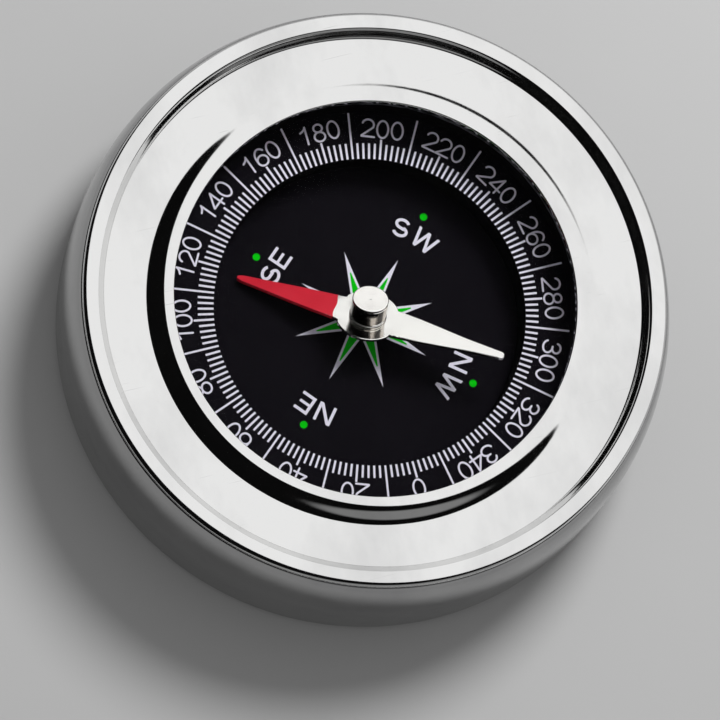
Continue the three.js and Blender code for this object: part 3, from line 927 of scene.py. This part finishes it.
# Each pair: its heading, the radius of its foot, and each letter's place and tilt from that
LETTER_PAIRS = [
    (45, 11.95, (("N", -7.7, -4.5), ("E", 4.8, 4.8))),
    (135, 11.65, (("S", -4.9, -4.9), ("E", 6.5, 4.0))),
    (225, 11.70, (("S", -7.5, -7.5), ("W", 7.3, 7.3))),
    (315, 12.00, (("N", -6.6, -6.6), ("W", 8.0, 8.0))),
]
# Each dot: its heading, its place across that and its radius
DOTS = [(45, -0.10, 15.68), (135, -0.03, 15.50), (225, 0.05, 15.52), (315, 0.02, 15.80)]


def make_letters():
    outlines = []
    for pair_heading, foot, letters in LETTER_PAIRS:
        for letter, offset, tilt in letters:
            centre = heading(pair_heading + offset, foot) + PRINT_SHIFT
            for outline in LETTERS[letter]:
                outlines.append(placed(outline, centre, pair_heading + tilt))
    make_print("dial_letters", outlines, dial_high.z, ink_white)


def make_dots():
    outlines = [placed(circle(x, r, DOT_RADIUS), PRINT_SHIFT, turn) for turn, x, r in DOTS]
    make_print("dial_dots", outlines, dial_high.z, ink_green)


def make_star():
    make_print("star_border", [star_outline(0)], dial_high.z, ink_white)
    core = star_outline(STAR_BORDER, STAR_CORE_END)
    make_print("star_core", [core], dial_high.z, ink_green, CORE_INK)


# Needle

BLADE_BOTTOM = -1.5
ARM_TOP = -1.06
DISC_TOP = -1.14
DISC_RADIUS = 4.1
STEP_START = 2.6
STEP_END = 5.2
STEP_ROUNDS = 6
ARM_STEPS = 5
RIM_STEPS = 22
BLADE_BORE = 2.0
BLADE_EDGE = 0.07
EDGE_DROP = 0.05
LACQUER = 0.02
LACQUER_ARM_START = 4.3
# The lacquer's wavy end: its left end, width, distance from the axis, slant, depth and swing
WAVE_LEFT = -1.93
WAVE_WIDTH = 3.88
WAVE_START = 3.98
WAVE_SLANT = 0.34
WAVE_DEPTH = 0.10
WAVE_SWING = 7.5
WAVE_STEPS = 12
# Half-widths of each arm at distances from the axis, from the disc out to the round tip
RED_ARM = [(3.35, 2.08), (4.1, 1.92), (6.65, 1.66), (9.5, 1.34), (13.45, 0.82), (16.4, 0.45)]
PALE_ARM = [(3.35, 2.20), (4.6, 2.08), (6.2, 1.93), (9.3, 1.50), (12.5, 1.03), (15.4, 0.73)]
RED_TIP = (17.05, 0.3)
PALE_TIP = (17.75, 0.55)


def arm_side(widths, tip):
    """One edge of an arm from the disc to its tip, eased between its measured widths"""
    end, radius = tip
    path = [*widths, (end - radius, radius)]
    eased = []
    for i in range(len(path) - 1):
        before = path[max(i - 1, 0)]
        (y0, w0), (y1, w1) = path[i], path[i + 1]
        after = path[min(i + 2, len(path) - 1)]
        slope0 = (w1 - before[1]) / (y1 - before[0])
        slope1 = (after[1] - w0) / (after[0] - y0)
        gap = y1 - y0
        for t in evenly(0, 1, ARM_STEPS)[:-1]:
            w = (
                (2 * t**3 - 3 * t**2 + 1) * w0
                + (t**3 - 2 * t**2 + t) * gap * slope0
                + (3 * t**2 - 2 * t**3) * w1
                + (t**3 - t**2) * gap * slope1
            )
            eased.append(Vector((w, y0 + gap * t)))
    return eased + [Vector(p) for p in arc(0, end - radius, radius, radius, 0, 90, 8)]


def blade_outline():
    """The blade's plan with the red arm along +Y, anticlockwise from the red arm's root"""
    red = arm_side(RED_ARM, RED_TIP)
    pale = arm_side(PALE_ARM, PALE_TIP)
    red_root = math.degrees(math.atan2(RED_ARM[0][1], RED_ARM[0][0]))
    pale_root = 180 - math.degrees(math.atan2(PALE_ARM[0][1], PALE_ARM[0][0]))
    rim = [heading(turn, DISC_RADIUS) for turn in evenly(pale_root, red_root, RIM_STEPS)[1:-1]]
    right = [Vector((p.x, -p.y)) for p in reversed(pale)] + rim + red
    left = [Vector((-p.x, p.y)) for p in reversed(right[1:-1])]
    return right + left


def shrunk(outline, inset):
    """An outline moved inwards along its own normals"""
    moved = []
    for i, p in enumerate(outline):
        along = (outline[(i + 1) % len(outline)] - outline[i - 1]).normalized()
        moved.append(p + Vector((-along.y, along.x)) * inset)
    return moved


def eased_step(value, low, high):
    """From 0 at a low value to 1 at a high one, level at both ends"""
    t = min(1.0, max(0.0, (value - low) / (high - low)))
    return t * t * (3 - 2 * t)


def blade_top(x, y):
    """The blade dips into a round seat under the hub"""
    return DISC_TOP + (ARM_TOP - DISC_TOP) * eased_step(math.hypot(x, y), STEP_START, STEP_END)


def eased_top(outline, lift):
    """The height of the blade's top or of a skin on it, let down along the outline"""

    def spot(x, y):
        return round(x, 4), round(y, 4)

    def top_at(x, y):
        drop = EDGE_DROP if spot(x, y) in edge_spots else 0
        return blade_top(x, y) + lift - drop

    edge_spots = {spot(*p) for p in outline}
    return top_at


def make_blade():
    outline = blade_outline()
    inner = shrunk(outline, BLADE_EDGE)
    rounds = [circle(0, 0, r, POST_SEGMENTS) for r in evenly(STEP_START, STEP_END, STEP_ROUNDS)]
    guides = [inner, *rounds]
    top_at = eased_top(outline, 0)
    blade = plate("compass_needle", [outline], BLADE_BOTTOM, top_at, guides, BLADE_BORE, needle_matrix)
    dress(blade, "needle", "nickel", blade_nickel, "needle_blade")


def make_red_skin():
    """Lacquer over one arm, from a wavy line by the hub out to the tip"""
    grown = shrunk(blade_outline(), -LACQUER)
    arm = [p for p in grown if p.y > LACQUER_ARM_START]
    right = [p for p in arm if p.x > 0]
    left = [p for p in arm if p.x <= 0]
    edge = []
    for t in evenly(0, 1, WAVE_STEPS):
        x = WAVE_LEFT + WAVE_WIDTH * t
        edge.append(Vector((x, WAVE_START + WAVE_SLANT * t + WAVE_DEPTH * math.sin(WAVE_SWING * t))))
    outline = edge + right + left
    inner = shrunk(outline, BLADE_EDGE)
    top_at = eased_top(outline, LACQUER)
    skin = plate("red_lacquer", [outline], BLADE_BOTTOM - LACQUER, top_at, [inner], 0, needle_matrix)
    dress(skin, "needle", "nickel", lacquer)


# Hub, collar and jewel

HUB_RADIUS = 2.26
HUB_TOP = 1.95
HUB_BEVEL = 0.13
HUB_FOOT_RADIUS = 2.34
HUB_FOOT_TOP = -0.80
HUB_FOOT_GAP = 0.02
HUB_FOOT_STEP = 0.02
HUB_FOOT_EDGE = 0.05
HUB_FOOT_ROUND = 0.1
LOW_GROOVE_RISE = 0.14
HIGH_GROOVE_DROP = 0.22
CAP_DISH = 0.03
CAP_MARK = 0.09
CAP_STEPS = 12
GROOVE_DEPTH = 0.05
GROOVE_WIDTH = 0.10
WALL_HOLD = 0.04
WALL_NORMAL = 0.5
SPIGOT_RADIUS = 1.95
SPIGOT_BORE = 1.75
COLLAR_OUTER = 2.9
COLLAR_TOP = -1.55
COLLAR_LOW = -1.95
JEWEL_SOCKET = 1.05
JEWEL_RADIUS = 0.9
JEWEL_CUT = 0.55
SOCKET_END = -1.15
CUP_HALF_ANGLE = math.radians(40)
CUP_TOP = 0.05
COLLAR_EDGE = 0.06


def groove(radius, height):
    """A fine groove in a wall that runs upwards, with the wall held straight beside it"""
    half = GROOVE_WIDTH / 2
    return [
        (radius, height - half - WALL_HOLD),
        (radius, height - half),
        (radius - GROOVE_DEPTH, height),
        (radius, height + half),
        (radius, height + half + WALL_HOLD),
    ]


def make_hub():
    foot_low = DISC_TOP + HUB_FOOT_GAP
    foot_round_low = HUB_FOOT_TOP - HUB_FOOT_ROUND
    foot_round_inner = HUB_FOOT_RADIUS - HUB_FOOT_ROUND
    bevel_low = HUB_TOP - HUB_BEVEL
    bevel_inner = HUB_RADIUS - HUB_BEVEL
    section = [
        (0, JEWEL_SOCKET),
        (JEWEL_SOCKET, JEWEL_SOCKET),
        (JEWEL_SOCKET, -JEWEL_CUT),
        (SPIGOT_BORE, SOCKET_END),
        (SPIGOT_BORE, COLLAR_LOW),
        (SPIGOT_RADIUS, COLLAR_LOW),
        (SPIGOT_RADIUS, foot_low),
        (HUB_FOOT_RADIUS - HUB_FOOT_EDGE, foot_low),
        (HUB_FOOT_RADIUS, foot_low + HUB_FOOT_EDGE),
        (HUB_FOOT_RADIUS, foot_low + HUB_FOOT_EDGE + WALL_HOLD),
        (HUB_FOOT_RADIUS, foot_round_low - WALL_HOLD),
        *arc(foot_round_inner, foot_round_low, HUB_FOOT_ROUND, HUB_FOOT_ROUND, 0, 90, 5),
        (HUB_RADIUS + HUB_FOOT_STEP, HUB_FOOT_TOP),
        *groove(HUB_RADIUS, HUB_FOOT_TOP + LOW_GROOVE_RISE),
        *groove(HUB_RADIUS, bevel_low - HIGH_GROOVE_DROP),
        (HUB_RADIUS, bevel_low - WALL_HOLD),
        *arc(bevel_inner, bevel_low, HUB_BEVEL, HUB_BEVEL, 0, 90, 8),
        *[
            (bevel_inner * t, HUB_TOP - CAP_DISH * math.cos(math.pi / 2 * t))
            for t in evenly(1, 0, CAP_STEPS)[1:-1]
        ],
        (CAP_MARK, HUB_TOP - CAP_DISH),
        (0, HUB_TOP - CAP_DISH - CAP_MARK / 2),
    ]
    hub = lathe("needle_hub", section, HUB_SEGMENTS, needle_matrix)
    dress(hub, "needle", "nickel", nickel, "hub_cap")
    # The hub's side faces take the darker copy of the nickel: painted shade with painted reflection bands
    hub.data.materials.append(painted_dark_wall_nickel)
    for face in hub.data.polygons:
        if abs(face.normal.z) < WALL_NORMAL and face.center.xy.length > SPIGOT_RADIUS * MM:
            face.material_index = 1


def make_collar():
    section = ring_section(BLADE_BORE, COLLAR_OUTER, COLLAR_LOW, COLLAR_TOP, COLLAR_EDGE)
    collar = lathe("hub_ring", section, POST_SEGMENTS, needle_matrix)
    dress(collar, "needle", "brass", brass, "hub_collar")


def make_jewel_bead():
    cut = -math.degrees(math.asin(JEWEL_CUT / JEWEL_RADIUS))
    recess = (JEWEL_CUT + CUP_TOP) * math.tan(CUP_HALF_ANGLE)
    dome = arc(0, 0, JEWEL_RADIUS, JEWEL_RADIUS, cut, 90, 24)[:-1]
    section = [(0, CUP_TOP), (recess, -JEWEL_CUT), *dome, (0, JEWEL_RADIUS)]
    bead = lathe("jewel_bead", section, PIN_SEGMENTS, Matrix.Translation(point * MM))
    dress(bead, "jewel", "jewel", jewel_red, "jewel_cup")


# Pivot

PIN_RADIUS = 0.35
PIN_TAPER = 1.9
PIN_POINT = 0.03
PIN_FIT = 0.05
POST_FLANGE = 2.2
POST_FLANGE_HEIGHT = 0.4
POST_STEM = 0.9
POST_EDGE = 0.08
POST_FILLET = 0.15
POST_TOP_EDGE = 0.12
POST_THREAD = 1.2
THREAD_PITCH = 0.35
THREAD_DEPTH = 0.1
THREAD_FLAT = 0.02
PIN_GRIP = 2.2


def make_post():
    flange_top = dial_high.z + POST_FLANGE_HEIGHT
    bore = PIN_RADIUS + PIN_FIT
    threads = []
    for i in range(int((dial_low.z - post_low.z) / THREAD_PITCH)):
        z = post_low.z + THREAD_PITCH * i
        threads += [(POST_THREAD - THREAD_DEPTH, z + THREAD_FLAT), (POST_THREAD, z + THREAD_PITCH / 2)]
    section = [
        (0, post_low.z),
        *threads,
        (POST_THREAD, dial_high.z),
        (POST_FLANGE, dial_high.z),
        (POST_FLANGE, flange_top - POST_EDGE),
        (POST_FLANGE - POST_EDGE, flange_top),
        *arc(POST_STEM + POST_FILLET, flange_top + POST_FILLET, POST_FILLET, POST_FILLET, 270, 180, 5),
        (POST_STEM, post_high.z - POST_TOP_EDGE),
        (POST_STEM - POST_TOP_EDGE, post_high.z),
        (bore, post_high.z),
        (bore, post_high.z - PIN_GRIP),
        (0, post_high.z - PIN_GRIP),
    ]
    dress(lathe("pivot_stem", section, POST_SEGMENTS), "case", "brass", brass, "pivot_post")


def make_pin():
    section = [
        (0, pin_low.z),
        (PIN_RADIUS, pin_low.z),
        (PIN_RADIUS, pin_high.z - PIN_TAPER),
        (PIN_POINT, pin_high.z - PIN_POINT),
        (0, pin_high.z),
    ]
    pin = lathe("pivot_point", section, PIN_SEGMENTS)
    dress(pin, "case", "hard_steel", hard_steel, "pivot_pin")


# Underside

PLATE_EDGE = 0.12
PLATE_SCREW_HOLE = 1.8
PAD_ROUND = 0.3


def make_base_plate():
    section = disc_section(plate_low, plate_high, PLATE_EDGE)
    cover = cut_at_screws(lathe("base_cover", section), PLATE_SCREW_HOLE)
    dress(cover, "case", "base_steel", base_steel, "base_plate")


def make_pad():
    section = [
        (0, pad_low.z),
        *arc(pad_high.x - PAD_ROUND, pad_low.z + PAD_ROUND, PAD_ROUND, PAD_ROUND, -90, 0, 6),
        (pad_high.x, pad_high.z),
        (0, pad_high.z),
    ]
    dress(lathe("felt_pad", section), "case", "felt", felt, "base_pad")


def dress_cad_nodes():
    """Materials for the CAD nodes whose own shape stays"""
    kept = {
        "crystal_gasket": rubber,
        "bezel_seal": rubber,
        "crystal_retainer": hard_steel,
        "dial_carrier": black_plastic,
        "pivot_washer": hard_steel,
        "pivot_nut": brass,
    }
    for i in range(1, 5):
        kept[f"base_screw_{i}"] = hard_steel
    for node, material in kept.items():
        mesh = frame["nodes"][node].data
        mesh.materials.clear()
        mesh.materials.append(material)


# Camera, light and floor

CAMERA_HEADING = 47.85
CAMERA_ELEVATION = 73.83
CAMERA_DISTANCE = 737.4
CAMERA_ROLL = 33.0
CAMERA_AIM = Vector((3.9, 6.9, 18.0))
CAMERA_LENS = 300
SENSOR_WIDTH = 36
CLIP_START = 0.05
CLIP_END = 20
KEY_HEADING = 228
KEY_TILT = 36
KEY_DISTANCE = 500
KEY_SIZE = 0.19
KEY_POWER = 2.05
FLOOR_SIZE = 3.0
FLOOR_PALE = (0.56, 0.56, 0.56)
FLOOR_DEEP = (0.53, 0.53, 0.53)
STUDIO_GREY = (0.8, 0.8, 0.8, 1)
AMBIENT = 0.37
BRIGHT_LEVEL = 1.3
DARK_LEVEL = 0.004
TABLE_LEVEL = 0.30
DARK_HEADING = 55
DARK_ELEVATION = -32
DARK_START = -0.50
DARK_END = -0.46
TABLE_HEADING = 4
TABLE_ELEVATION = 0
TABLE_START = 0.71
TABLE_END = 0.79


def raised(degrees, elevation):
    """A direction at a heading and an elevation above the floor"""
    level = heading(degrees, math.cos(math.radians(elevation)))
    return Vector((level.x, level.y, math.sin(math.radians(elevation))))


def make_camera():
    data = bpy.data.cameras.new("camera")
    data.lens = CAMERA_LENS
    data.sensor_width = SENSOR_WIDTH
    data.clip_start = CLIP_START
    data.clip_end = CLIP_END
    back = raised(CAMERA_HEADING, CAMERA_ELEVATION)
    upright = (-back).to_track_quat("-Z", "Y").to_matrix().to_4x4()
    roll = Matrix.Rotation(math.radians(CAMERA_ROLL), 4, "Z")
    place = Matrix.Translation((CAMERA_AIM + back * CAMERA_DISTANCE) * MM)
    bpy.context.scene.camera = add_object("camera", data, place @ upright @ roll)


def make_key_light():
    data = bpy.data.lights.new("key", "AREA")
    data.shape = "DISK"
    data.size = KEY_SIZE
    data.energy = KEY_POWER
    key = add_object("key", data)
    towards = raised(KEY_HEADING, 90 - KEY_TILT)
    key.location = (point + towards * KEY_DISTANCE) * MM
    key.rotation_mode = "QUATERNION"
    key.rotation_quaternion = towards.to_track_quat("Z", "Y")
    key.visible_glossy = False
    key.visible_camera = False


def make_floor():
    size = FLOOR_SIZE / MM / 2
    points = [(-size, -size, 0), (size, -size, 0), (size, size, 0), (-size, size, 0)]
    floor = make_object("floor", points, [[0, 1, 2, 3]], smooth=False)
    look = Look("floor", FLOOR_PALE, roughness=0.7, specular=0.2)
    look.colour(look.between(look.noise(9, 4), 0.35, 0.65, 0, 1), FLOOR_PALE, FLOOR_DEEP)
    floor.data.materials.append(look.material)


def make_world():
    """Even light for matt surfaces and a plain pale room for the camera. Mirrors see a studio: a
    bright side, and a dark one behind the camera with a grey table in it."""
    world = bpy.data.worlds.new("studio")
    bpy.context.scene.world = world
    world.use_nodes = True
    tree = world.node_tree
    tree.nodes.clear()
    ray = add_node(tree, "ShaderNodeLightPath").outputs
    way = add_node(tree, "ShaderNodeTexCoord").outputs["Generated"]

    def towards(direction, low, high):
        """From 0 to 1 as a ray turns towards a direction"""
        both = {0: way, 1: direction}
        dot = add_node(tree, "ShaderNodeVectorMath", both, operation="DOT_PRODUCT").outputs["Value"]
        inputs = {"Value": dot, "From Min": low, "From Max": high}
        step = add_node(tree, "ShaderNodeMapRange", inputs, interpolation_type="SMOOTHSTEP")
        return step.outputs["Result"]

    def blend(share, first, second):
        """Two levels mixed by a share of the second"""
        return add_node(tree, "ShaderNodeMix", {0: share, 2: first, 3: second}).outputs[0]

    dark_side = towards(raised(DARK_HEADING, DARK_ELEVATION), DARK_START, DARK_END)
    table_side = towards(raised(TABLE_HEADING, TABLE_ELEVATION), TABLE_START, TABLE_END)
    gloom = blend(table_side, DARK_LEVEL, TABLE_LEVEL)
    mirrored = blend(dark_side, BRIGHT_LEVEL, gloom)
    level = blend(ray["Is Glossy Ray"], AMBIENT, mirrored)
    level = blend(ray["Is Camera Ray"], level, 1.0)
    level = blend(ray["Is Transmission Ray"], level, 1.0)
    light = add_node(tree, "ShaderNodeBackground", {"Color": STUDIO_GREY, "Strength": level})
    add_node(tree, "ShaderNodeOutputWorld", {"Surface": light.outputs["Background"]})


make_case()
make_front_ring()
make_glass_disc()
make_liner()
make_degree_ring()
make_dial()
make_ticks()
make_numbers()
make_star()
make_letters()
make_dots()
make_blade()
make_red_skin()
make_hub()
make_collar()
make_jewel_bead()
make_post()
make_pin()
make_base_plate()
make_pad()
dress_cad_nodes()
make_camera()
make_key_light()
make_floor()
make_world()

bpy.context.scene.view_settings.view_transform = "Standard"
